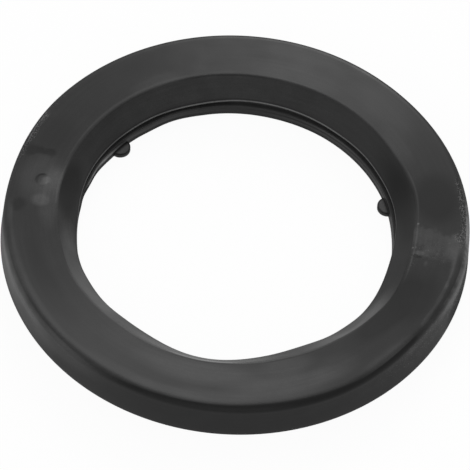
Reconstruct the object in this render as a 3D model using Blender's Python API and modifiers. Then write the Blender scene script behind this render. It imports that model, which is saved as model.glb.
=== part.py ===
"""A moulded rubber sealing ring for a waste outlet, in one piece, lying on its flat base.

Metres, +Z up, origin at the centre of the base. The ring is a turned body: a flat top face, a cone that
falls inwards to a thin sealing lip, an undercut groove under the lip, a bore, a flat base and a slightly
flared outer wall. The lip waves gently up and down. Two half-round tabs stand in the bore at the base, and
a shallow round gate mark is left in the top face.
"""

import math

import bmesh
import bpy
from mathutils import Matrix, Vector

# Driving dimensions in metres. Widths are measured along the radius.
LIP_DIAMETER = 0.076
CONE_WIDTH = 0.0044
FACE_WIDTH = 0.01315
WALL_FLARE = 0.00045
HEIGHT = 0.0098
LIP_HEIGHT = 0.0048
LIP_THICKNESS = 0.0005
GROOVE_HEIGHT = 0.0016
GROOVE_DEPTH = 0.0013
BORE_STEP = 0.0002
BORE_DRAFT = 0.0003

# Edge roundings.
OUTER_EDGE_RADIUS = 0.0021
CREASE_RADIUS = 0.0009
LEDGE_RADIUS = 0.0003
LIP_RADIUS = 0.0002
BASE_RADIUS = 0.0003

# The lip's waves: how many, how far it swings each way, and where one of them stands highest.
LIP_WAVES = 6
LIP_SWING = 0.00046
LIP_WAVE_ANGLE = math.radians(52)

# The half-round tabs in the bore, each reaching in from the wall a little above the base.
TAB_ANGLES = (math.radians(17.8), math.radians(140))
TAB_REACH = 0.00225
TAB_RADIUS = 0.0025
TAB_THICKNESS = 0.0011
TAB_RISE = 0.0002
TAB_ROUNDING = 0.0002

# The gate mark, a shallow dish in the top face.
GATE_ANGLE = math.radians(171.6)
GATE_INSET = 0.00455
GATE_DIAMETER = 0.0034
GATE_DEPTH = 0.0002

# How finely the shapes are divided.
TURN_STEPS = 120
CONE_STEPS = 4
TAB_SEGMENTS = 32
GATE_SEGMENTS = 32
GATE_RINGS = 64

# Radii and heights that follow from them.
lip_radius = LIP_DIAMETER / 2
crease_radius = lip_radius + CONE_WIDTH
top_radius = crease_radius + FACE_WIDTH
outer_radius = top_radius + WALL_FLARE
bore_radius = lip_radius - BORE_STEP
ledge_radius = bore_radius + BORE_DRAFT
groove_radius = ledge_radius + GROOVE_DEPTH
lip_underside = LIP_HEIGHT - LIP_THICKNESS
ledge_height = lip_underside - GROOVE_HEIGHT


def clear_scene():
    for obj in list(bpy.data.objects):
        bpy.data.objects.remove(obj)


def new_collection(name):
    collection = bpy.data.collections.new(name)
    bpy.context.scene.collection.children.link(collection)
    return collection


def rounded_corner(before, corner, after, radius, steps):
    """Points of the arc that rounds a corner of the section, or the corner alone where the radius is nil."""
    if radius <= 0:
        return [corner]
    into = (before - corner).normalized()
    out = (after - corner).normalized()
    half = into.angle(out) / 2
    reach = radius / math.tan(half)
    room = 0.45 * min((before - corner).length, (after - corner).length)
    if reach > room:
        reach = room
        radius = reach * math.tan(half)
    centre = corner + (into + out).normalized() * (radius / math.sin(half))
    start = (corner + into * reach - centre).normalized()
    end = (corner + out * reach - centre).normalized()
    return [centre + radius * start.slerp(end, step / steps) for step in range(steps + 1)]


def section_corners():
    """The section's corners as (point, rounding radius, arc steps), out along the top and round to the lip."""
    return [
        (Vector((crease_radius, HEIGHT)), CREASE_RADIUS, 3),
        (Vector((top_radius, HEIGHT)), OUTER_EDGE_RADIUS, 5),
        (Vector((outer_radius, 0)), BASE_RADIUS, 2),
        (Vector((bore_radius, 0)), BASE_RADIUS, 2),
        (Vector((ledge_radius, ledge_height)), LEDGE_RADIUS, 2),
        (Vector((groove_radius, ledge_height)), 0, 0),
        (Vector((groove_radius, lip_underside)), 0, 0),
        (Vector((lip_radius, lip_underside)), LIP_RADIUS, 2),
        (Vector((lip_radius, LIP_HEIGHT)), LIP_RADIUS, 2),
    ]


def section_points():
    corners = section_corners()
    points = []
    for index, (corner, radius, steps) in enumerate(corners):
        before = corners[index - 1][0]
        after = corners[(index + 1) % len(corners)][0]
        points += rounded_corner(before, corner, after, radius, steps)
    return points + cone_points(points[-1], points[0])


def cone_points(low, high):
    """Points between the lip and the crease, so that the cone can bend with the lip's waves."""
    return [low.lerp(high, step / CONE_STEPS) for step in range(1, CONE_STEPS)]


def turned_mesh(points):
    """The mesh of a closed section turned about the Z axis."""
    outline = bpy.data.meshes.new("section")
    count = len(points)
    edges = [(index, (index + 1) % count) for index in range(count)]
    outline.from_pydata([(point.x, 0, point.y) for point in points], edges, [])
    profile = bpy.data.objects.new("section", outline)
    bpy.context.scene.collection.objects.link(profile)
    screw = profile.modifiers.new("turn", "SCREW")
    screw.steps = TURN_STEPS
    screw.render_steps = TURN_STEPS
    screw.use_merge_vertices = True
    screw.merge_threshold = 0.00001
    graph = bpy.context.evaluated_depsgraph_get()
    mesh = bpy.data.meshes.new_from_object(profile.evaluated_get(graph))
    bpy.data.objects.remove(profile)
    return mesh


def lip_share(radius, height):
    """How much of the lip's swing a point takes: all of it at the lip's tip, none at the crease or below."""
    if height < (lip_underside + ledge_height) / 2:
        return 0
    return min(max((crease_radius - radius) / CONE_WIDTH, 0), 1)


def wave_lip(mesh):
    """Swings the lip about the crease, up and in where a wave is high, down and out where it is low."""
    fall = HEIGHT - LIP_HEIGHT
    slope = math.hypot(CONE_WIDTH, fall)
    for vertex in mesh.vertices:
        radius = math.hypot(vertex.co.x, vertex.co.y)
        angle = math.atan2(vertex.co.y, vertex.co.x)
        wave = math.cos(LIP_WAVES * (angle - LIP_WAVE_ANGLE))
        swing = LIP_SWING * wave * lip_share(radius, vertex.co.z)
        outwards = Vector((vertex.co.x, vertex.co.y, 0)) / radius
        vertex.co -= outwards * (swing * fall / slope)
        vertex.co.z += swing * CONE_WIDTH / slope


def helper(name, mesh, place):
    """An object that only shapes the ring and isn't shown."""
    obj = bpy.data.objects.new(name, mesh)
    obj.matrix_world = place
    obj.hide_render = True
    obj.display_type = "WIRE"
    helpers.objects.link(obj)
    return obj


def tab_mesh():
    """A short round disc with soft edges."""
    mesh = bpy.data.meshes.new("tab")
    shape = bmesh.new()
    bmesh.ops.create_cone(
        shape,
        cap_ends=True,
        segments=TAB_SEGMENTS,
        radius1=TAB_RADIUS,
        radius2=TAB_RADIUS,
        depth=TAB_THICKNESS,
    )
    rims = [edge for edge in shape.edges if edge.calc_face_angle() > math.radians(60)]
    bmesh.ops.bevel(shape, geom=rims, offset=TAB_ROUNDING, segments=2, profile=0.5, affect="EDGES")
    shape.to_mesh(mesh)
    shape.free()
    return mesh


def tab_place(angle):
    centre = bore_radius - (TAB_REACH - TAB_RADIUS)
    middle = TAB_RISE + TAB_THICKNESS / 2
    return Matrix.Rotation(angle, 4, "Z") @ Matrix.Translation((centre, 0, middle))


def gate_mesh(radius):
    """The ball that leaves the gate mark's dish."""
    mesh = bpy.data.meshes.new("gate_mark")
    shape = bmesh.new()
    bmesh.ops.create_uvsphere(shape, u_segments=GATE_SEGMENTS, v_segments=GATE_RINGS, radius=radius)
    shape.to_mesh(mesh)
    shape.free()
    return mesh


def add_gate_mark(ring):
    half = GATE_DIAMETER / 2
    ball_radius = (half**2 + GATE_DEPTH**2) / (2 * GATE_DEPTH)
    height = HEIGHT - GATE_DEPTH + ball_radius
    place = Matrix.Rotation(GATE_ANGLE, 4, "Z") @ Matrix.Translation((crease_radius + GATE_INSET, 0, height))
    ball = helper("gate_mark", gate_mesh(ball_radius), place)
    combine(ring, ball, "DIFFERENCE")


def add_tabs(ring):
    for number, angle in enumerate(TAB_ANGLES):
        tab = helper(f"tab_{number + 1}", tab_mesh(), tab_place(angle))
        combine(ring, tab, "UNION")


def combine(ring, other, operation):
    modifier = ring.modifiers.new(other.name, "BOOLEAN")
    modifier.operation = operation
    modifier.solver = "EXACT"
    modifier.object = other


def black_rubber():
    material = bpy.data.materials.new("black_rubber")
    material.use_nodes = True
    shader = material.node_tree.nodes["Principled BSDF"]
    shader.inputs["Base Color"].default_value = (0.035, 0.035, 0.036, 1)
    shader.inputs["Roughness"].default_value = 0.55
    shader.inputs["Metallic"].default_value = 0
    return material


def sealing_ring():
    mesh = turned_mesh(section_points())
    mesh.name = "sealing_ring"
    wave_lip(mesh)
    mesh.materials.clear()
    mesh.materials.append(black_rubber())
    mesh.shade_smooth()
    mesh.set_sharp_from_angle(angle=math.radians(30))
    ring = bpy.data.objects.new("sealing_ring", mesh)
    parts.objects.link(ring)
    add_tabs(ring)
    add_gate_mark(ring)
    return ring


clear_scene()
parts = new_collection("sealing_ring")
helpers = new_collection("helpers")
sealing_ring()
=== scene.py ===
"""The looks of a moulded black rubber sealing ring, lying on a pale floor under soft studio light.

The ring is one finely divided mesh with the solid's own section, a little out of round. Its top face
carries the mould's fine turning marks, so the light gathers in two bright sectors. The gate mark, sink marks,
knit line and flash are modelled, and the scuffs, blotches and specks are grey shades laid on the surface,
as are painted highlights and painted shade on the lip, crease, cone, bore, tabs, wall and in the gate mark.
"""

import math

import bmesh
import bpy
from mathutils import Matrix, Vector, noise

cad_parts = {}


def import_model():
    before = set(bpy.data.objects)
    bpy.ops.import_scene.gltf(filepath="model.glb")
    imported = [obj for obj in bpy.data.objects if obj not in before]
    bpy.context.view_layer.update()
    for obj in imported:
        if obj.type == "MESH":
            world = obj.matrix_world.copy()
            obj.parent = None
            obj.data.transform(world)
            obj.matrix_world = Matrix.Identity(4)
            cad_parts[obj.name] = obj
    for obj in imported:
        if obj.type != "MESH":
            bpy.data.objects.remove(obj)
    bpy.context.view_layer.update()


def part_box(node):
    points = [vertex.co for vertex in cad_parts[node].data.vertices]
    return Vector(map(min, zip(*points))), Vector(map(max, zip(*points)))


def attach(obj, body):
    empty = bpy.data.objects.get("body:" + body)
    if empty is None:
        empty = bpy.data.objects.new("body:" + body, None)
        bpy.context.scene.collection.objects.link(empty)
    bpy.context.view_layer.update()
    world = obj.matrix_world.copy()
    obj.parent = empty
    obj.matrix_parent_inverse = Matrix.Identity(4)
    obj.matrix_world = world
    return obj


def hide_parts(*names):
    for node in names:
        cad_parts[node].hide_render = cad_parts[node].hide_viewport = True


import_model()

# Lengths are in metres and widths are measured along the radius. The height is the frame's.
low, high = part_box("sealing_ring")
HEIGHT = high[2] - low[2]

# The section's driving dimensions, as the solid has them.
OUTER_RADIUS = 0.05597
LIP_RADIUS = 0.038
CONE_WIDTH = 0.0044
WALL_FLARE = 0.00045
LIP_HEIGHT = 0.0048
LIP_THICKNESS = 0.0005
GROOVE_HEIGHT = 0.0016
GROOVE_DEPTH = 0.0013
BORE_STEP = 0.0002
BORE_DRAFT = 0.0003

OUTER_EDGE_ROUNDING = 0.0021
CREASE_ROUNDING = 0.0009
LEDGE_ROUNDING = 0.0003
LIP_ROUNDING = 0.0002
BASE_ROUNDING = 0.00012
GROOVE_ROUNDING = 0.00025

# A rounding takes at most this share of the shorter side beside its corner.
ROUNDING_LIMIT = 0.45

# How far the top face falls from its outer edge to the crease.
TOP_FALL = 0.0001

crease_radius = LIP_RADIUS + CONE_WIDTH
top_radius = OUTER_RADIUS - WALL_FLARE
bore_radius = LIP_RADIUS - BORE_STEP
ledge_radius = bore_radius + BORE_DRAFT
groove_radius = ledge_radius + GROOVE_DEPTH
lip_underside = LIP_HEIGHT - LIP_THICKNESS
ledge_height = lip_underside - GROOVE_HEIGHT
groove_middle = (lip_underside + ledge_height) / 2

# The lip's waves: their number, how far the tip swings, and an angle where it stands highest.
LIP_WAVES = 6
LIP_SWING = 0.00046
LIP_WAVE_ANGLE = 52

# The tabs in the bore. Their tops are divided into rings over a share of their radius.
TAB_ANGLES = (17.8, 140)
TAB_REACH = 0.00225
TAB_RADIUS = 0.0025
TAB_THICKNESS = 0.00125
TAB_RISE = 0.00005
TAB_ROUNDING = 0.00015
TAB_SEGMENTS = 64
TAB_RINGS = 6
TAB_RING_SHARE = 0.9

# Where the ring is out of round, as (angle, reach in degrees, change of radius).
WALL_LEANS = (
    (171, 27, -0.00065),
    (46, 28, -0.0002),
    (322, 26, -0.0012),
)
LIP_SWELLS = (
    (92, 15, 0.00015),
    (122, 15, 0.0002),
    (162, 22, 0.00025),
    (40, 15, 0.0002),
    (218, 26, 0.0002),
    (298, 14, -0.0002),
    (182, 12, -0.0002),
    (6, 24, 0.0004),
    (209, 9, -0.00015),
    (222, 8, 0.0001),
    (258, 20, 0.00012),
    (315, 10, -0.00018),
)
BORE_SWELLS = (
    (48, 60, -0.0002),
    (78, 22, -0.00012),
    (4, 18, -0.0002),
    (116, 12, 0.0003),
    (135, 10, 0.0001),
    (154, 10, 0.00033),
    (165, 7, 0.0003),
    (184, 12, -0.0001),
)
CREASE_SWELLS = (
    (330, 18, 0.0007),
    (315, 10, 0.00025),
    (14, 17, 0.0006),
    (207, 13, 0.00035),
    (232, 14, -0.0003),
    (262, 12, 0.0001),
    (289, 16, -0.00025),
    (130, 40, 0.0001),
    (82, 20, -0.0001),
    (173, 14, 0.0002),
)

# How far inside the top's edge the wall's lean starts, and the width it grows over.
LEAN_START = 0.006
LEAN_FADE = 0.005

# How far outwards the crease's swells reach.
CREASE_SPREAD = 0.004

# How finely the ring is turned, in degrees a step, and where the steps are finer.
COARSE_STEP = 0.75
FINE_STEP = 0.25
FINE_STRETCHES = ((155, 182), (338, 383))

# The points of the section's straight runs lie closer together at their starts, by this power.
CLOSING = 1.4

# Dents in the top face as (angle, radius in mm, reach in mm, depth in mm): sink marks and small hollows.
DENTS = (
    (179, 46.1, 2.2, 0.03),
    (162.3, 50.4, 1.8, 0.03),
    (161.6, 47.4, 1.5, 0.02),
)

# The gate mark as (angle, radius in mm), its own radius and depth in mm, and its slope's share of its radius.
GATE_MARK = (171.6, 46.95)
GATE_MARK_RADIUS = 1.75
GATE_MARK_DEPTH = 0.06
GATE_MARK_SLOPE = 0.5

# The knit line where the rubber met in the mould: a low ridge across the top face, with its sizes in mm.
KNIT_ANGLES = (0.9, 356.2)
KNIT_RADII = (42.6, 54.7)
KNIT_WIDTH = 1.6
KNIT_HEIGHT = 0.02
KNIT_WANDER = 0.5
KNIT_WANDER_SCALE = 0.5

# The scuff along the knit line's near side: its reach and the width of its sharp side in mm, and its grey.
SCUFF_REACH = 9
SCUFF_EDGE = 1.4
SCUFF_GREY = 0.02

# Crumbs of flash on the outer edge: first and last angle, radius, spread and greatest height in mm, and the
# scale of the crumbs a degree and a mm.
FLASH_STRETCH = (-7, 14)
FLASH_RADIUS = 53.4
FLASH_SPREAD = 1.2
FLASH_HEIGHT = 0.09
FLASH_SCALE = (2.1, 2.4)

# How far below the ring's height a surface counts as its top face, for its relief, its greys and its specks.
RELIEF_DEPTH = 0.0001
FACE_DEPTH = 0.00035
SPECK_DEPTH = 0.0006

# How far the cone's greys reach below the lip and outside the crease, and how far inside it its painted light
# and shade start.
CONE_DEPTH = 0.0008
CONE_MARGIN = 0.001
CONE_INSET = 0.0002

# How far the wall's specks reach inwards, how far below the ledge the bore's greys end, and a hair's breadth.
WALL_SPECK_INSET = 0.001
LEDGE_MARGIN = 0.00025
TOLERANCE = 0.00001

# Shades of the surface, as the share of light that the rubber scatters, with a painted highlight on the lip's
# tip and painted light on the tabs' tops.
RUBBER_GREY = 0.012
LIP_HIGHLIGHT_GREY = 0.12
GROOVE_GREY = 0.022
BORE_RING_GREY = 0.08
TAB_TOP_PAINTED_LIGHT = 0.055
TAB_SIDE_GREY = 0.03

# How far from the lip's tip its painted highlight line ends and the painted dark band above it starts to
# clear, and the widths of both.
LIP_LINE_END = 0.00034
LIP_LINE_FADE = 0.00012
LIP_CLEAR_START = 0.0003
LIP_CLEAR_FADE = 0.0005

# The fine rings in the bore: their noise's scale up the wall a metre and around it a radian, and its seed.
BORE_RING_SCALE = 1900
BORE_RING_DRIFT = 1.5
BORE_RING_SEED = 5.5

# How far the painted shade on a tab's top reaches out from the wall, and the width of the painted dark line
# round its edge.
TAB_ROOT_SHADE_FADE = 0.0008
TAB_SHADE_LINE_WIDTH = 0.00015

# How ragged the outlines of patches are, as (scale of the noise a metre, share of a patch's reach).
WIDE_BLUR = (350, 0.3)
FINE_BLUR = (1100, 0.2)
SPECK_BLUR = (700, 0.3)
STIPPLE_BLUR = (600, 0.5)

# How much of the raggedness the bore's patches take.
BORE_BLUR_SHARE = 0.3

# A patch in shares of its reach: where it ends, where a ragged one has ended, and how steeply it fades.
PATCH_END = 1.1
PATCH_LIMIT = 1.6
PATCH_STEEPNESS = 1.4

# The rubber's roughness, and what dull places and the far outer edge add to it, and the whole edge and dark
# blotches and painted shade take off.
ROUGHNESS = 0.52
DULL_ADDED = 0.48
FAR_EDGE_ADDED = 0.4
EDGE_TAKEN = 0.15
BLOTCH_AND_SHADE_TAKEN = 0.08

# How many degrees either side of the ring's left the bore is dull, and of its right the foot of the wall, how
# high the foot reaches, the height it fades over, and how far outside the top's edge it is whole.
DULL_BORE_REACH = 30
DULL_FOOT_REACH = 26
FOOT_HEIGHT = 0.007
FOOT_FADE = 0.004
FOOT_MARGIN = 0.0001

# How far inside the top's edge the outer edge's own roughness starts, and what it grows over outwards and up.
EDGE_START = 0.0018
EDGE_FADE = 0.0012
EDGE_RISE_FADE = 0.0006

# How far below the ring's height dark blotches and painted shade are smoother, and the height that this
# fades over.
BLOTCH_AND_SHADE_DEPTH = 0.0004
BLOTCH_AND_SHADE_FADE = 0.0002

# The painted shade in a crescent along the gate mark's left side, the slope of its hollow that lies in shade:
# its radius and width in mm, and the way it faces.
GATE_SHADE_RADIUS = 1.55
GATE_SHADE_WIDTH = 0.32
GATE_SHADE_MIDDLE = 150
GATE_SHADE_REACH = 100

# Soft shades of the top face, partly the rubber's own tone and partly painted light and shade: a painted
# sheen on the near side and on sink marks, and painted shade along the outer edge, as (angle, reach in
# degrees, radius in mm, reach in mm, grey in thousandths).
TOP_TONES_AND_PAINTED_SHADING = (
    (171, 10, 47, 7, 16),
    (178, 14, 44.6, 3, 14),
    (170, 5, 45, 2.6, 9),
    (179, 2.7, 46.6, 2.6, 27),
    (183, 5, 54.3, 1.6, 9),
    (155, 8, 49, 5, -5),
    (208, 30, 53.4, 1.1, 13),
    (200, 16, 54.8, 0.9, 14),
    (278, 42, 55, 1, -40),
    (315, 16, 55, 0.9, -12),
    (242, 16, 52.8, 1.8, 9),
    (212, 26, 49, 3, -9),
    (210, 8, 45, 4, -4),
    (240, 12, 45, 4, 6),
    (262, 22, 46, 4, 22),
    (286, 18, 50, 4, 24),
    (288, 10, 44.6, 3, 18),
    (301, 8, 49, 4, 10),
    (315, 10, 53, 2, 12),
    (326, 20, 45, 4, -16),
    (334, 12, 49, 4, -10),
    (10, 11, 48, 7, -14),
    (32, 10, 44.6, 3, 8),
    (45, 14, 49, 5, 9),
    (74, 16, 45, 5, 9),
    (106, 9, 46, 5, -8),
    (118, 12, 44, 3, 8),
    (112, 16, 50, 4.5, -10),
    (354, 5, 52.6, 2.6, 12),
    (358, 10, 54.7, 0.9, 24),
    (74, 14, 51.5, 3, 8),
    (68, 64, 54.6, 1.1, -12),
    (255, 12, 53, 2, 8),
    (267, 14, 52.6, 2.6, 14),
)

# Blotches, scuffs and nicks of the top face, with a painted highlight inside the gate mark and painted
# highlight dots at the crease, given in the same way.
TOP_MARKS_AND_PAINTED_HIGHLIGHTS = (
    (162.8, 2.6, 52.2, 2.2, -20),
    (162.2, 2, 50, 2, -16),
    (161.7, 1.9, 47.9, 2, -18),
    (181, 2.8, 51.6, 2, -12),
    (345.5, 8, 53, 0.5, 22),
    (334, 13, 53, 0.6, 14),
    (171.5, 1.6, 46.15, 1.3, 34),
    (159, 12, 54.8, 1.1, 26),
    (349.6, 1, 44.3, 1.2, 20),
    (348.2, 0.6, 44, 1.3, -24),
    (346.3, 1.2, 46.5, 0.5, 14),
    (0.7, 0.45, 43.2, 0.35, 80),
    (351.2, 0.4, 42.6, 0.3, 60),
    (351.5, 0.4, 43.3, 0.3, 50),
)

# Painted light and shade on the cone, where its slope catches more or less light, given in the same way.
CONE_PAINTED_SHADING = (
    (262, 36, 40.5, 2.4, 26),
    (232, 9, 40.5, 2.6, -8),
    (289, 9, 40.5, 2.6, -10),
    (316, 20, 41, 3, 42),
    (204, 16, 40.5, 3, 20),
    (105, 56, 40.5, 4, 11),
    (172, 14, 40.5, 3, -14),
    (12, 22, 40.5, 3, -10),
    (191, 8, 39.3, 2.6, 16),
    (220, 8, 40.5, 3, 16),
    (315, 8, 39.8, 1.6, -22),
)

# Painted highlights and painted shade along the crease, where its rounding catches or loses the light, as
# (angle, reach in degrees, way out from the crease in mm, reach in mm, grey in thousandths).
CREASE_PAINTED_LINES = (
    (351, 14, 0.65, 0.28, 24),
    (12, 13, 0.65, 0.28, 14),
    (130, 46, 0.8, 0.4, 12),
    (171, 11, 0.4, 0.35, 20),
    (268, 40, 0.42, 0.3, -40),
    (262, 15, -0.05, 0.5, 110),
)

# Painted light and shade of the rounded edge and the wall: light on the left wall, shade along the near fold
# and the far edge, as (angle, reach in degrees, height in mm, reach in mm, grey in thousandths).
WALL_PAINTED_SHADING = (
    (285, 48, 9.4, 1.3, -12),
    (240, 12, 9.5, 0.9, -12),
    (270, 60, 5, 6, -6),
    (68, 64, 9, 1.4, -12),
    (203, 18, 7.8, 2.8, 36),
    (224, 16, 7, 4, 16),
    (195, 14, 5, 5, 40),
    (211, 14, 4.5, 5, 22),
)

# Blotches and wear of the rounded edge and the wall on the ring's right, with painted light and shade laid in
# the same patches, given in the same way.
WALL_MARKS_AND_PAINTED_LIGHT = (
    (315, 14, 9, 1, -14),
    (337, 24, 7.4, 1.7, 18),
    (330, 14, 6, 5, 8),
    (346, 15, 7.8, 2.4, 44),
    (4, 15, 9.4, 1, 16),
    (0, 9, 8.6, 1.6, 110),
)

# Painted highlights on the bore's wall at the ring's left and along the ledge's edge at its right, and
# painted shade on the wall under the lip at the left, given in the same way.
BORE_PAINTED_SHADING = (
    (146, 8, 1.8, 0.6, 110),
    (152, 6, 1.5, 0.5, 120),
    (158, 5, 1.2, 0.6, 170),
    (177, 16, 1.4, 4, -80),
    (40, 32, 2.3, 0.35, 25),
)

# Where light specks show: on the top face by radius, and on the wall by height, with the share of specks.
TOP_SPECKS = (
    (351, 7, 48, 6.5, 0.5),
    (345, 8, 43.3, 1.2, 0.5),
)
WALL_SPECKS = (
    (328, 28, 6, 4.5, 0.65),
    (350, 14, 4.5, 4.5, 0.5),
)

# Where the top face is stippled with small dots, given in the same way.
TOP_STIPPLES = (
    (11, 7, 54.1, 0.8, 1),
    (3, 7, 54.2, 0.9, 1),
    (357, 3, 53.6, 1.8, 0.9),
    (158, 13, 54.3, 1.1, 1),
)


def rounded_corner(before, corner, after, radius, steps):
    """Points of the arc that rounds a corner of the section."""
    into = (before - corner).normalized()
    out = (after - corner).normalized()
    half = into.angle(out) / 2
    shorter = min((before - corner).length, (after - corner).length)
    reach = min(radius / math.tan(half), ROUNDING_LIMIT * shorter)
    radius = reach * math.tan(half)
    centre = corner + (into + out).normalized() * (radius / math.sin(half))
    start = (corner + into * reach - centre).normalized()
    end = (corner + out * reach - centre).normalized()
    return [centre + radius * start.slerp(end, step / steps) for step in range(steps + 1)]


def section_corners():
    """The section's corners as (point, rounding, arc steps, steps of the straight run after it)."""
    return [
        (Vector((crease_radius, HEIGHT - TOP_FALL)), CREASE_ROUNDING, 8, 34),
        (Vector((top_radius, HEIGHT)), OUTER_EDGE_ROUNDING, 14, 13),
        (Vector((OUTER_RADIUS, 0)), BASE_ROUNDING, 3, 4),
        (Vector((bore_radius, 0)), BASE_ROUNDING, 3, 14),
        (Vector((ledge_radius, ledge_height)), LEDGE_ROUNDING, 4, 2),
        (Vector((groove_radius, ledge_height)), GROOVE_ROUNDING, 3, 2),
        (Vector((groove_radius, lip_underside)), GROOVE_ROUNDING, 3, 2),
        (Vector((LIP_RADIUS, lip_underside)), LIP_ROUNDING, 4, 1),
        (Vector((LIP_RADIUS, LIP_HEIGHT)), LIP_ROUNDING, 4, 15),
    ]


def section_points():
    """The closed section, with its corners rounded and its straight runs divided."""
    corners = section_corners()
    arcs = []
    for index, (corner, radius, steps, _run) in enumerate(corners):
        before = corners[index - 1][0]
        after = corners[(index + 1) % len(corners)][0]
        arcs.append(rounded_corner(before, corner, after, radius, steps))
    points = []
    for index, arc in enumerate(arcs):
        run = corners[index][3]
        following = arcs[(index + 1) % len(arcs)][0]
        points += arc
        points += [arc[-1].lerp(following, (step / run)**CLOSING) for step in range(1, run)]
    return points


def turn_angles():
    """The angles in degrees that the section is turned to, closer together where there are small marks."""
    angles = []
    degrees = 0
    while degrees < 360 - FINE_STEP / 2:
        angles.append(degrees)
        fine = any(start <= degrees + lap < end for start, end in FINE_STRETCHES for lap in (0, 360))
        degrees += FINE_STEP if fine else COARSE_STEP
    return angles


def smooth(value):
    """0 below 0 and 1 above 1, with an even curve between."""
    value = min(max(value, 0), 1)
    return value * value * (3 - 2 * value)


def apart(degrees, other):
    """How far apart two angles are, in degrees."""
    return abs((degrees - other + 180) % 360 - 180)


def polar(degrees, radius):
    """The place in plan at an angle and a radius, in the radius's own unit."""
    angle = math.radians(degrees)
    return Vector((radius * math.cos(angle), radius * math.sin(angle)))


def swell(swells, degrees):
    """The change of radius that the swells make at an angle."""
    return sum(change * smooth(1 - apart(degrees, angle) / reach) for angle, reach, change in swells)


def patches(marks, degrees, place, blur):
    """The sum of soft patches at an angle and a radius or height in mm, with their outlines blurred."""
    total = 0
    for angle, reach, middle, width, strength in marks:
        along = apart(degrees, angle) / reach
        across = abs(place - middle) / width
        if along < PATCH_LIMIT and across < PATCH_LIMIT:
            total += strength * smooth(PATCH_STEEPNESS * (PATCH_END - math.hypot(along, across) + blur))
    return total


def blurred(point, scale, share):
    """How far the outline of a patch is shifted at a point, as a share of the patch's reach."""
    return share * noise.noise(point * scale)


def lip_share(radius, height):
    """How much of the lip's swing a point takes: all at its tip, and none at the crease or in the bore."""
    if height < groove_middle:
        return 0
    return min(max((crease_radius - radius) / CONE_WIDTH, 0), 1)


def waved(radius, height, degrees):
    """A point of the section after the lip has swung up and in, or down and out, with its waves."""
    fall = HEIGHT - LIP_HEIGHT
    slope = math.hypot(CONE_WIDTH, fall)
    wave = math.cos(math.radians(LIP_WAVES * (degrees - LIP_WAVE_ANGLE)))
    share = lip_share(radius, height)
    swing = LIP_SWING * wave * share
    radius += swell(LIP_SWELLS, degrees) * share
    return radius - swing * fall / slope, height + swing * CONE_WIDTH / slope


def out_of_round(radius, height, degrees):
    """The change of radius at a point of the wall, the crease or the bore."""
    if height < groove_middle and radius < groove_radius:
        return swell(BORE_SWELLS, degrees)
    if height > LIP_HEIGHT and radius < crease_radius + CREASE_SPREAD:
        inwards = (radius - LIP_RADIUS) / CONE_WIDTH
        outwards = (crease_radius + CREASE_SPREAD - radius) / CREASE_SPREAD
        return swell(CREASE_SWELLS, degrees) * smooth(min(inwards, outwards))
    lean = swell(WALL_LEANS, degrees) * min(height / HEIGHT, 1)
    return lean * smooth((radius - top_radius + LEAN_START) / LEAN_FADE)


def knit_place(place):
    """How far along the knit line a place in mm lies, from 0 to 1, and how far to its near side, in mm."""
    start = polar(KNIT_ANGLES[0], KNIT_RADII[0])
    line = polar(KNIT_ANGLES[1], KNIT_RADII[1]) - start
    along = (place - start).dot(line) / line.length_squared
    across = (place - start).cross(line) / line.length
    wander = noise.noise((place.x * KNIT_WANDER_SCALE, place.y * KNIT_WANDER_SCALE, 3))
    return along, across + KNIT_WANDER * wander


def dent_depth(place):
    """How deep the gate mark, sink marks and hollows are at a place on the top face, in mm."""
    across = (place - polar(*GATE_MARK)).length / GATE_MARK_RADIUS
    depth = GATE_MARK_DEPTH * smooth((1 - across) / GATE_MARK_SLOPE)
    for degrees, radius, reach, dent in DENTS:
        depth += dent * smooth(1 - (place - polar(degrees, radius)).length / reach)
    return depth


def knit_rise(place):
    """How high the knit line's ridge stands at a place on the top face, in mm."""
    along, across = knit_place(place)
    return KNIT_HEIGHT * smooth(1 - abs(across) / KNIT_WIDTH) * smooth(min(along, 1 - along) * 6)


def scuff_share(place, blur):
    """How much of the knit line's scuff lies at a place: sharp along the line and soft away from it."""
    along, across = knit_place(place)
    sharp = smooth((across + 3 * blur + 0.4) / SCUFF_EDGE)
    soft = smooth(2 - 2 * across / SCUFF_REACH + 2 * blur)
    return sharp * soft * smooth(along * 20) * smooth((1.03 - along) * 8)


def flash_rise(degrees, radius):
    """How high the crumbs of flash stand on the outer edge, in mm."""
    start, end = FLASH_STRETCH
    middle = (start + end) / 2
    ends = smooth((1 - apart(degrees, middle) / ((end - start) / 2)) * 4)
    edge = smooth(1 - abs(radius - FLASH_RADIUS) / FLASH_SPREAD)
    crumbs = noise.noise((degrees * FLASH_SCALE[0], radius * FLASH_SCALE[1], 7))
    return FLASH_HEIGHT * ends * edge * smooth(crumbs * 2.2)


def surface_point(radius, height, degrees):
    """The section's point turned to an angle, with its wave, its swell and the relief of the top face."""
    radius, height = waved(radius, height, degrees)
    radius += out_of_round(radius, height, degrees)
    point = Vector((*polar(degrees, radius), height))
    if height > HEIGHT - TOP_FALL - RELIEF_DEPTH:
        place = point.xy * 1000
        rise = knit_rise(place) + flash_rise(degrees, radius * 1000) - dent_depth(place)
        point.z = min(point.z + rise / 1000, HEIGHT)
    return point


def turned_mesh(name):
    """The section turned about the Z axis, with the marks of its surface."""
    points = section_points()
    angles = turn_angles()
    vertices = [surface_point(point.x, point.y, degrees) for degrees in angles for point in points]
    faces = []
    for turn in range(len(angles)):
        here = turn * len(points)
        there = (turn + 1) % len(angles) * len(points)
        for index in range(len(points)):
            following = (index + 1) % len(points)
            faces.append((here + index, here + following, there + following, there + index))
    mesh = bpy.data.meshes.new(name)
    mesh.from_pydata(vertices, [], faces)
    return mesh


def tab_centre(degrees):
    return polar(degrees, bore_radius - TAB_REACH + TAB_RADIUS)


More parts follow.
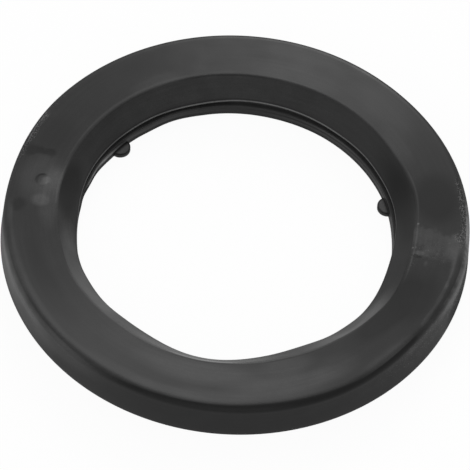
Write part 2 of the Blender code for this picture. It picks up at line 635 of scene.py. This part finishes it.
def tab_object(number, degrees):
    """A short round disc with soft edges, whose outer half is sunk in the bore's wall."""
    mesh = bpy.data.meshes.new(f"tab_{number}")
    shape = bmesh.new()
    bmesh.ops.create_cone(
        shape,
        cap_ends=True,
        segments=TAB_SEGMENTS,
        radius1=TAB_RADIUS,
        radius2=TAB_RADIUS,
        depth=TAB_THICKNESS,
    )
    rims = [edge for edge in shape.edges if edge.calc_face_angle() > math.radians(60)]
    bmesh.ops.bevel(shape, geom=rims, offset=TAB_ROUNDING, segments=4, profile=0.5, affect="EDGES")
    top = max(shape.faces, key=lambda face: face.calc_center_median().z)
    for _ring in range(TAB_RINGS):
        bmesh.ops.inset_individual(shape, faces=[top], thickness=TAB_RING_SHARE * TAB_RADIUS / TAB_RINGS)
    shape.to_mesh(mesh)
    shape.free()
    tab = bpy.data.objects.new(f"tab_{number}", mesh)
    middle = TAB_RISE + TAB_THICKNESS / 2
    tab.matrix_world = Matrix.Translation((*tab_centre(degrees), middle))
    bpy.context.scene.collection.objects.link(tab)
    return tab


def unite(ring, tabs):
    """Joins the tabs to the ring and leaves one plain mesh."""
    for tab in tabs:
        modifier = ring.modifiers.new(tab.name, "BOOLEAN")
        modifier.operation = "UNION"
        modifier.object = tab
    graph = bpy.context.evaluated_depsgraph_get()
    united = bpy.data.meshes.new_from_object(ring.evaluated_get(graph))
    ring.modifiers.clear()
    ring.data = united
    for tab in tabs:
        bpy.data.objects.remove(tab)


def lip_highlight_and_shade(grey, radius, height, degrees):
    """A grey near the lip: a painted highlight on its tip, weaker at the ring's sides, and painted shade just
    above it.
    """
    tip_radius, tip_height = waved(LIP_RADIUS, LIP_HEIGHT - LIP_ROUNDING, degrees)
    away = math.hypot(radius - tip_radius, height - tip_height)
    side = math.cos(math.radians(degrees))**2
    light = LIP_HIGHLIGHT_GREY * (1 - 0.5 * side) * smooth((LIP_LINE_END - away) / LIP_LINE_FADE)
    return grey * smooth((away - LIP_CLEAR_START) / LIP_CLEAR_FADE) + light


def bore_grey(height, degrees, blur):
    """The bore's grey: fine rings that show most at the ring's sides, and its painted highlights and painted
    shade.
    """
    angle = math.radians(degrees)
    rings = noise.noise((height * BORE_RING_SCALE, angle * BORE_RING_DRIFT, BORE_RING_SEED))
    rings *= BORE_RING_GREY * abs(math.cos(angle))
    marks = patches(BORE_PAINTED_SHADING, degrees, height * 1000, BORE_BLUR_SHARE * blur) / 1000
    return max(RUBBER_GREY + rings + marks, 0)


def wall_grey(height, degrees, blur):
    """The grey of the rounded edge and the wall: painted light and shade, and blotches with painted light."""
    shades = patches(WALL_PAINTED_SHADING, degrees, height * 1000, 0)
    marks = patches(WALL_MARKS_AND_PAINTED_LIGHT, degrees, height * 1000, blur)
    return max(RUBBER_GREY + (shades + marks) / 1000, 0)


def tab_grey(point):
    """A tab's grey: its side, or its top in painted light, with painted shade towards the wall and round its
    rim.
    """
    if point.z < TAB_RISE + TAB_THICKNESS - TAB_ROUNDING:
        return TAB_SIDE_GREY
    inwards = bore_radius - point.xy.length
    root = smooth(inwards / TAB_ROOT_SHADE_FADE)
    middle = 1.5 - 0.5 * smooth(inwards / TAB_REACH)
    edge = smooth((from_tab(point) - TAB_RADIUS + TAB_ROUNDING + TAB_SHADE_LINE_WIDTH) / TAB_SHADE_LINE_WIDTH)
    return TAB_TOP_PAINTED_LIGHT * root * middle * (1 - edge)


def from_tab(point):
    """How far a point is from the axis of the nearest tab."""
    return min((point.xy - tab_centre(degrees)).length for degrees in TAB_ANGLES)


def gate_shade_share(point):
    """1 in the crescent of painted shade beside the gate mark and 0 away from it."""
    place = point.xy * 1000 - polar(*GATE_MARK)
    if place.length > 2 * GATE_SHADE_RADIUS:
        return 0
    facing = math.degrees(math.atan2(place.y, place.x))
    across = abs(place.length - GATE_SHADE_RADIUS) / GATE_SHADE_WIDTH
    return smooth(1.3 - across) * smooth(2 - 2 * apart(facing, GATE_SHADE_MIDDLE) / GATE_SHADE_REACH)


def face_grey(point, degrees, blur):
    """The grey of the top face and the cone, with painted light and shade, and painted lines along the
    crease.
    """
    radius = point.xy.length
    fold = radius - crease_radius - swell(CREASE_SWELLS, degrees)
    marks = patches(CREASE_PAINTED_LINES, degrees, fold * 1000, 0) / 1000
    if fold < -CONE_INSET:
        marks += patches(CONE_PAINTED_SHADING, degrees, radius * 1000, 0) / 1000
        return lip_highlight_and_shade(max(RUBBER_GREY + marks, 0), radius, point.z, degrees)
    marks += patches(TOP_TONES_AND_PAINTED_SHADING, degrees, radius * 1000, 0) / 1000
    marks += patches(TOP_MARKS_AND_PAINTED_HIGHLIGHTS, degrees, radius * 1000, blur) / 1000
    marks += SCUFF_GREY * scuff_share(point.xy * 1000, blur)
    return max(RUBBER_GREY + marks, 0) * (1 - gate_shade_share(point))


def grey_at(point):
    """How light the rubber is at a point of the ring."""
    radius = point.xy.length
    height = point.z
    degrees = math.degrees(math.atan2(point.y, point.x))
    blur = blurred(point, *WIDE_BLUR) + blurred(point, *FINE_BLUR)
    on_cone = height > LIP_HEIGHT - CONE_DEPTH and radius < crease_radius + CONE_MARGIN
    if height > HEIGHT - FACE_DEPTH or on_cone:
        return face_grey(point, degrees, blur)
    if radius > top_radius - OUTER_EDGE_ROUNDING:
        return wall_grey(height, degrees, blur)
    if height < TAB_RISE + TAB_THICKNESS + TOLERANCE and from_tab(point) < TAB_RADIUS + TOLERANCE:
        return tab_grey(point)
    if height < ledge_height - LEDGE_MARGIN and radius < ledge_radius + LEDGE_ROUNDING:
        return bore_grey(height, degrees, blur)
    return GROOVE_GREY


def specks_at(point):
    """How thickly light specks lie at a point of the ring."""
    radius = point.xy.length * 1000
    height = point.z * 1000
    degrees = math.degrees(math.atan2(point.y, point.x))
    blur = blurred(point, *SPECK_BLUR)
    if point.z > HEIGHT - SPECK_DEPTH:
        return min(patches(TOP_SPECKS, degrees, radius, blur), 1)
    if point.xy.length > top_radius - WALL_SPECK_INSET:
        return min(patches(WALL_SPECKS, degrees, height, blur), 1)
    return 0


def stipple_at(point):
    """How strongly small dots stipple the surface at a point of the ring."""
    if point.z < HEIGHT - SPECK_DEPTH:
        return 0
    degrees = math.degrees(math.atan2(point.y, point.x))
    return min(patches(TOP_STIPPLES, degrees, point.xy.length * 1000, blurred(point, *STIPPLE_BLUR)), 1)


def edge_roughness(point, degrees):
    """What the rounded outer edge adds to the roughness at the far side, or takes off at the near side."""
    share = smooth((point.xy.length - top_radius + EDGE_START) / EDGE_FADE)
    share *= smooth((point.z - HEIGHT + OUTER_EDGE_ROUNDING) / EDGE_RISE_FADE)
    far = smooth(0.5 + 1.5 * math.sin(math.radians(degrees)))
    return share * (FAR_EDGE_ADDED * far - EDGE_TAKEN)


def foot_share(point, degrees):
    """1 on the foot of the wall at the ring's right, and 0 away from it."""
    share = smooth((FOOT_HEIGHT - point.z) / FOOT_FADE)
    share *= smooth((point.xy.length - top_radius) / FOOT_MARGIN)
    return share * smooth(2 - 2 * apart(degrees, 0) / DULL_FOOT_REACH)


def blotch_and_shade_share(point):
    """How much darker than plain rubber the top face is at a point, from 0 to 1."""
    dark = max(RUBBER_GREY - grey_at(point), 0) / RUBBER_GREY
    return dark * smooth((point.z - HEIGHT + BLOTCH_AND_SHADE_DEPTH) / BLOTCH_AND_SHADE_FADE)


def roughness_at(point):
    """The roughness: dull in the bore's left and the right wall's foot, smoother on blotches and painted
    shade.
    """
    degrees = math.degrees(math.atan2(point.y, point.x))
    if point.z < ledge_height and point.xy.length < groove_radius:
        return ROUGHNESS + DULL_ADDED * smooth(3 - 3 * apart(degrees, 180) / DULL_BORE_REACH)
    added = edge_roughness(point, degrees) + DULL_ADDED * foot_share(point, degrees)
    return ROUGHNESS + added - BLOTCH_AND_SHADE_TAKEN * blotch_and_shade_share(point)


# The rubber's gloss: its level, how far it is drawn out, and the turn that draws it out across the rings.
GLOSS_LEVEL = 0.3
GLOSS_STRETCH = 0.8
GLOSS_TURN = 0.25

# The scales of its noises: turning marks a metre and a radian, and clouds, grain and dots a metre.
TURNING_SCALE = 1400
TURNING_DRIFT = 2.5
CLOUD_SCALE = 260
GRAIN_SCALE = 4200
DOT_SCALE = 2900

# How strongly clouds, turning marks and grain change its grey, and clouds its roughness.
CLOUD_CONTRAST = 0.8
TURNING_CONTRAST = 0.5
GRAIN_CONTRAST = 0.8
CLOUD_ROUGHNESS = 0.12

# Light specks: the grain that starts one, how much less starts one where they are thick, and their greys.
SPECK_LEVEL = 0.8
SPECK_EASE = 0.26
SPECK_RISE = 0.9
SPECK_GREY = 0.2

# Stippled dots: how far they reach in cells, how unevenly they lie, and the greys of a dot and of its gaps.
DOT_REACH = 0.5
DOT_UNEVENNESS = 0.7
DOT_GREY = 0.42
DOT_GAP_GREY = -0.022

# The relief: the grain's share beside the turning marks, its strength and its depth.
GRAIN_RELIEF = 0.3
RELIEF_STRENGTH = 0.25
RELIEF_HEIGHT = 0.00003


def add_shade(mesh, name, rule):
    """Keeps a value at each vertex for the material."""
    values = mesh.attributes.new(name, "FLOAT", "POINT")
    values.data.foreach_set("value", [rule(vertex.co) for vertex in mesh.vertices])


def math_node(material, operation, *values):
    """A Math node's output, from sockets or numbers."""
    node = material.node_tree.nodes.new("ShaderNodeMath")
    node.operation = operation
    for index, value in enumerate(values):
        if isinstance(value, bpy.types.NodeSocket):
            material.node_tree.links.new(value, node.inputs[index])
        else:
            node.inputs[index].default_value = value
    return node.outputs[0]


def noise_node(material, vector, scale, detail):
    node = material.node_tree.nodes.new("ShaderNodeTexNoise")
    node.inputs["Scale"].default_value = scale
    node.inputs["Detail"].default_value = detail
    material.node_tree.links.new(vector, node.inputs["Vector"])
    return node.outputs["Fac"]


def attribute_node(material, name):
    node = material.node_tree.nodes.new("ShaderNodeAttribute")
    node.attribute_name = name
    return node.outputs["Fac"]


def turned_vector(material, place):
    """Coordinates along which a noise is drawn out into rings about the Z axis."""
    nodes = material.node_tree.nodes
    links = material.node_tree.links
    split = nodes.new("ShaderNodeSeparateXYZ")
    links.new(place, split.inputs[0])
    x, y, z = split.outputs
    across = math_node(material, "MULTIPLY", x, x)
    along = math_node(material, "MULTIPLY", y, y)
    radius = math_node(material, "SQRT", math_node(material, "ADD", across, along))
    turned = nodes.new("ShaderNodeCombineXYZ")
    angle = math_node(material, "ARCTAN2", y, x)
    links.new(math_node(material, "MULTIPLY", radius, TURNING_SCALE), turned.inputs[0])
    links.new(math_node(material, "MULTIPLY", z, TURNING_SCALE), turned.inputs[1])
    links.new(math_node(material, "MULTIPLY", angle, TURNING_DRIFT), turned.inputs[2])
    return turned.outputs[0]


def black_rubber():
    material = bpy.data.materials.new("black_rubber")
    material.use_nodes = True
    nodes = material.node_tree.nodes
    links = material.node_tree.links
    shader = nodes["Principled BSDF"]
    shader.inputs["Specular IOR Level"].default_value = GLOSS_LEVEL
    shader.inputs["Anisotropic"].default_value = GLOSS_STRETCH
    shader.inputs["Anisotropic Rotation"].default_value = GLOSS_TURN
    tangent = nodes.new("ShaderNodeTangent")
    tangent.direction_type = "RADIAL"
    tangent.axis = "Z"
    links.new(tangent.outputs["Tangent"], shader.inputs["Tangent"])
    place = nodes.new("ShaderNodeTexCoord").outputs["Object"]
    rings = noise_node(material, turned_vector(material, place), scale=1, detail=2)
    clouds = noise_node(material, place, scale=CLOUD_SCALE, detail=3)
    grain = noise_node(material, place, scale=GRAIN_SCALE, detail=1)
    grey = rubber_grey(material, place, rings, clouds, grain)
    colour = nodes.new("ShaderNodeCombineColor")
    for index in range(3):
        links.new(grey, colour.inputs[index])
    links.new(colour.outputs[0], shader.inputs["Base Color"])
    uneven = math_node(material, "MULTIPLY_ADD", clouds, CLOUD_ROUGHNESS, -CLOUD_ROUGHNESS / 2)
    roughness = math_node(material, "ADD", attribute_node(material, "roughness"), uneven)
    links.new(roughness, shader.inputs["Roughness"])
    links.new(fine_relief(material, rings, grain), shader.inputs["Normal"])
    return material


def mottled(material, grey, value, contrast):
    """A grey made lighter and darker by a noise, whose middle value is a half."""
    factor = math_node(material, "MULTIPLY_ADD", value, contrast, 1 - contrast / 2)
    return math_node(material, "MULTIPLY", grey, factor)


def rubber_grey(material, place, rings, clouds, grain):
    """The rubber's shade: patches of tone and painted light, clouds, faint rings, grain, light specks,
    stippled dots.
    """
    grey = mottled(material, attribute_node(material, "grey"), clouds, CLOUD_CONTRAST)
    grey = mottled(material, grey, rings, TURNING_CONTRAST)
    grey = mottled(material, grey, grain, GRAIN_CONTRAST)
    grey = math_node(material, "ADD", grey, light_specks(material, grain))
    return math_node(material, "ADD", grey, stippled_dots(material, place))


def light_specks(material, grain):
    """Small light specks, which are the grain's peaks and lie more thickly where the surface has specks."""
    level = math_node(material, "MULTIPLY_ADD", attribute_node(material, "specks"), -SPECK_EASE, SPECK_LEVEL)
    speck = math_node(material, "MAXIMUM", math_node(material, "SUBTRACT", grain, level), 0)
    speck = math_node(material, "MULTIPLY", speck, SPECK_RISE)
    return math_node(material, "MINIMUM", speck, SPECK_GREY)


def stippled_dots(material, place):
    """Small light dots, about a third of a millimetre apart, where the surface is stippled."""
    cells = material.node_tree.nodes.new("ShaderNodeTexVoronoi")
    cells.inputs["Scale"].default_value = DOT_SCALE
    cells.inputs["Randomness"].default_value = DOT_UNEVENNESS
    material.node_tree.links.new(place, cells.inputs["Vector"])
    dot = math_node(material, "SUBTRACT", DOT_REACH, cells.outputs["Distance"])
    dot = math_node(material, "MULTIPLY_ADD", dot, DOT_GREY, DOT_GAP_GREY)
    dot = math_node(material, "MAXIMUM", dot, -RUBBER_GREY)
    return math_node(material, "MULTIPLY", dot, attribute_node(material, "stipple"))


def fine_relief(material, rings, grain):
    """The fine relief of the turning marks and of the rubber's own grain."""
    nodes = material.node_tree.nodes
    links = material.node_tree.links
    height = math_node(material, "MULTIPLY_ADD", grain, GRAIN_RELIEF, rings)
    relief = nodes.new("ShaderNodeBump")
    relief.inputs["Strength"].default_value = RELIEF_STRENGTH
    relief.inputs["Distance"].default_value = RELIEF_HEIGHT
    links.new(height, relief.inputs["Height"])
    return relief.outputs["Normal"]


# Edges of the ring that are sharper than this, in degrees, aren't shaded smooth.
SHARP_ANGLE = 40


def sealing_ring():
    ring = bpy.data.objects.new("rubber_ring", turned_mesh("rubber_ring"))
    bpy.context.scene.collection.objects.link(ring)
    unite(ring, [tab_object(number, degrees) for number, degrees in enumerate(TAB_ANGLES, 1)])
    ring.data.shade_smooth()
    ring.data.set_sharp_from_angle(angle=math.radians(SHARP_ANGLE))
    add_shade(ring.data, "grey", grey_at)
    add_shade(ring.data, "specks", specks_at)
    add_shade(ring.data, "stipple", stipple_at)
    add_shade(ring.data, "roughness", roughness_at)
    ring.data.materials.clear()
    ring.data.materials.append(black_rubber())
    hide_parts("sealing_ring")
    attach(ring, "root")


# The floor's own shade, how white it shows to the camera and in gloss, and how far below the base it lies.
FLOOR_SIZE = 6
FLOOR_DROP = 0.00005
FLOOR_SHADE = 0.8
FLOOR_WHITE = 0.95


def floor_material():
    """A pale floor that shows nearly white and keeps a faint shadow."""
    material = bpy.data.materials.new("floor")
    material.use_nodes = True
    nodes = material.node_tree.nodes
    links = material.node_tree.links
    nodes.clear()
    output = nodes.new("ShaderNodeOutputMaterial")
    mix = nodes.new("ShaderNodeMixShader")
    matt = nodes.new("ShaderNodeBsdfDiffuse")
    matt.inputs["Color"].default_value = (FLOOR_SHADE, FLOOR_SHADE, FLOOR_SHADE, 1)
    white = nodes.new("ShaderNodeEmission")
    path = nodes.new("ShaderNodeLightPath")
    seen = math_node(material, "MAXIMUM", path.outputs["Is Camera Ray"], path.outputs["Is Glossy Ray"])
    seen = math_node(material, "MAXIMUM", seen, path.outputs["Is Transmission Ray"])
    links.new(math_node(material, "MULTIPLY", seen, FLOOR_WHITE), mix.inputs["Fac"])
    links.new(matt.outputs[0], mix.inputs[1])
    links.new(white.outputs[0], mix.inputs[2])
    links.new(mix.outputs[0], output.inputs["Surface"])
    return material


def floor():
    bpy.ops.mesh.primitive_plane_add(size=FLOOR_SIZE, location=(0, 0, -FLOOR_DROP))
    plane = bpy.context.active_object
    plane.name = "floor"
    plane.data.materials.append(floor_material())


# The camera: distance and aim point in metres, height angle and roll in radians, lens and sensor width in mm.
CAMERA_DISTANCE = 0.896
CAMERA_ELEVATION = 0.942089
CAMERA_AIM = Vector((-0.0000146, 0.0010086, 0))
CAMERA_ROLL = -0.0611952
CAMERA_LENS = 286.9
SENSOR_WIDTH = 36


def camera():
    data = bpy.data.cameras.new("camera")
    data.sensor_width = SENSOR_WIDTH
    data.lens = CAMERA_LENS
    lens = bpy.data.objects.new("camera", data)
    bpy.context.scene.collection.objects.link(lens)
    back = -math.cos(CAMERA_ELEVATION)
    place = CAMERA_DISTANCE * Vector((0, back, math.sin(CAMERA_ELEVATION)))
    forward = (CAMERA_AIM - place).normalized()
    right = forward.cross(Vector((0, 0, 1))).normalized()
    down = forward.cross(right)
    across = math.cos(CAMERA_ROLL) * right + math.sin(CAMERA_ROLL) * down
    upward = math.sin(CAMERA_ROLL) * right - math.cos(CAMERA_ROLL) * down
    turn = Matrix((across, upward, -forward)).transposed().to_4x4()
    lens.matrix_world = Matrix.Translation(place) @ turn
    bpy.context.scene.camera = lens


# The lamps as (name, azimuth, height angle, distance, width, height, brightness), with angles in degrees and
# azimuth 90 behind the ring.
LAMPS = (
    ("back_softbox", 84, 26, 1.3, 0.55, 0.52, 12.5),
    ("high_back_softbox", 90, 55, 1.3, 0.6, 0.8, 1.3),
    ("left_softbox", 203, 24, 1.3, 0.8, 0.8, 1.5),
    ("front_fill", 270, 31, 1.3, 1.0, 0.6, 0.6),
)
WORLD_STRENGTH = 0.6


def lamp(name, azimuth, elevation, distance, width, height, brightness):
    """A soft box that faces the ring, as bright as its figure says where white is 1."""
    data = bpy.data.lights.new(name, "AREA")
    data.shape = "RECTANGLE"
    data.size = width
    data.size_y = height
    data.energy = math.pi * width * height * brightness
    box = bpy.data.objects.new(name, data)
    azimuth = math.radians(azimuth)
    elevation = math.radians(elevation)
    across = math.cos(elevation)
    away = Vector((across * math.cos(azimuth), across * math.sin(azimuth), math.sin(elevation)))
    box.location = distance * away
    box.rotation_euler = (-away).to_track_quat("-Z", "Y").to_euler()
    bpy.context.scene.collection.objects.link(box)


def world():
    surroundings = bpy.data.worlds.new("studio")
    surroundings.use_nodes = True
    background = surroundings.node_tree.nodes["Background"]
    background.inputs["Color"].default_value = (1, 1, 1, 1)
    background.inputs["Strength"].default_value = WORLD_STRENGTH
    bpy.context.scene.world = surroundings


camera()
sealing_ring()
floor()
world()
for values in LAMPS:
    lamp(*values)
bpy.context.scene.view_settings.view_transform = "Standard"
